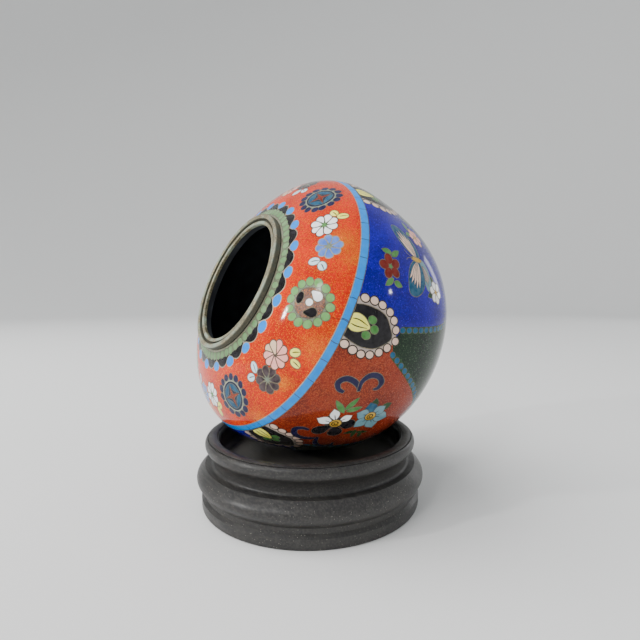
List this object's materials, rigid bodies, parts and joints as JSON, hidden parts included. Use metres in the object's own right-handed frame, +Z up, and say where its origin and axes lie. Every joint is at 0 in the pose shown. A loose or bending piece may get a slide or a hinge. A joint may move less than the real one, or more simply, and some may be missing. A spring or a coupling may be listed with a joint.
{
  "type": "cloisonne jar on stand",
  "caption": "Globular cloisonne enamel incense jar with a brass mouth rim and foot, lying tipped in a round dark hardwood stand.",
  "frame": {"origin": "centre of the stand's flat underside, on the surface that it stands on", "axes": "+Z up; -Y is the side that the jar's mouth faces; the jar's axis lies in a plane along Y and Z and points 66.4 degrees from upright toward -Y"},
  "size_m": [0.11, 0.1064, 0.129],
  "materials": {
    "enamel": "glossy cloisonne enamel, mostly orange-red and cobalt blue, dark counter enamel inside",
    "brass_rim": "dull aged brass with verdigris",
    "brass_foot": "dull aged brass",
    "hardwood": "near-black satin hardwood"
  },
  "bodies": {
    "root": {"jar_body": "enamel", "mouth_rim": "brass_rim", "foot_ring": "brass_foot", "stand": "hardwood"}
  },
  "joints": []
}
